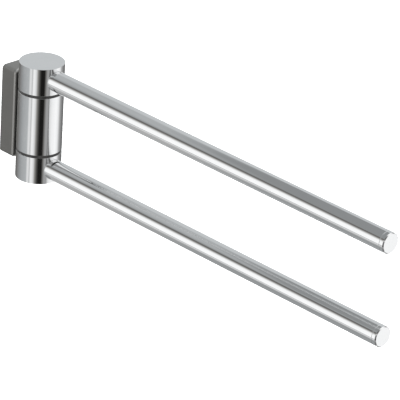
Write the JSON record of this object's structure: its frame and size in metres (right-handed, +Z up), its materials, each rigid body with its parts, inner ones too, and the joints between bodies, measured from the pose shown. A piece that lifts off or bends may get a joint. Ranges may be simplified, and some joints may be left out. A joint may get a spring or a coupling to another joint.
{
  "type": "swivel towel rail",
  "caption": "Wall-mounted chromed towel rail: a narrow wall block carries an upright post whose upper and lower hubs each turn a long straight round arm.",
  "frame": {"origin": "midway between the two wall screw holes, on the wall plane behind the bracket", "axes": "+Y into the wall, +Z up along the post, +X to the right as seen facing the wall; the arms point to -Y at rest"},
  "size_m": [0.0395, 0.45, 0.1064],
  "materials": {
    "chrome": "polished chrome plate",
    "block_metal": "satin dark plated metal",
    "dark_washer": "dark moulded plastic",
    "screw_steel": "blackened screw steel",
    "bracket_steel": "zinc-plated pressed steel",
    "axle_steel": "turned steel",
    "plug_brass": "turned brass",
    "bush_plastic": "natural moulded plastic"
  },
  "bodies": {
    "wall_side": {"wall_bracket": "bracket_steel", "wall_block": "block_metal", "block_clamp_screw": "screw_steel", "middle_barrel": "chrome", "barrel_screws": "screw_steel", "barrel_screw_washers": "bracket_steel", "axle": "axle_steel", "axle_lock_screw": "screw_steel", "upper_friction_washer": "dark_washer", "lower_friction_washer": "dark_washer"},
    "upper_arm": {"upper_hub": "chrome", "upper_bush": "bush_plastic", "upper_retaining_screw": "screw_steel", "upper_arm_tube": "chrome", "upper_arm_plug": "plug_brass", "upper_arm_set_screw": "screw_steel", "upper_end_cap": "chrome"},
    "lower_arm": {"lower_hub": "chrome", "lower_bush": "bush_plastic", "lower_retaining_screw": "screw_steel", "lower_arm_tube": "chrome", "lower_arm_plug": "plug_brass", "lower_arm_set_screw": "screw_steel", "lower_end_cap": "chrome"}
  },
  "joints": [
    {"name": "upper_arm_swivel", "type": "hinge", "parent": "wall_side", "child": "upper_arm", "pos_m": [0, -0.036, 0], "axis": [0, 0, 1], "range_deg": [-90, 90]},
    {"name": "lower_arm_swivel", "type": "hinge", "parent": "wall_side", "child": "lower_arm", "pos_m": [0, -0.036, 0], "axis": [0, 0, 1], "range_deg": [-90, 90]}
  ]
}
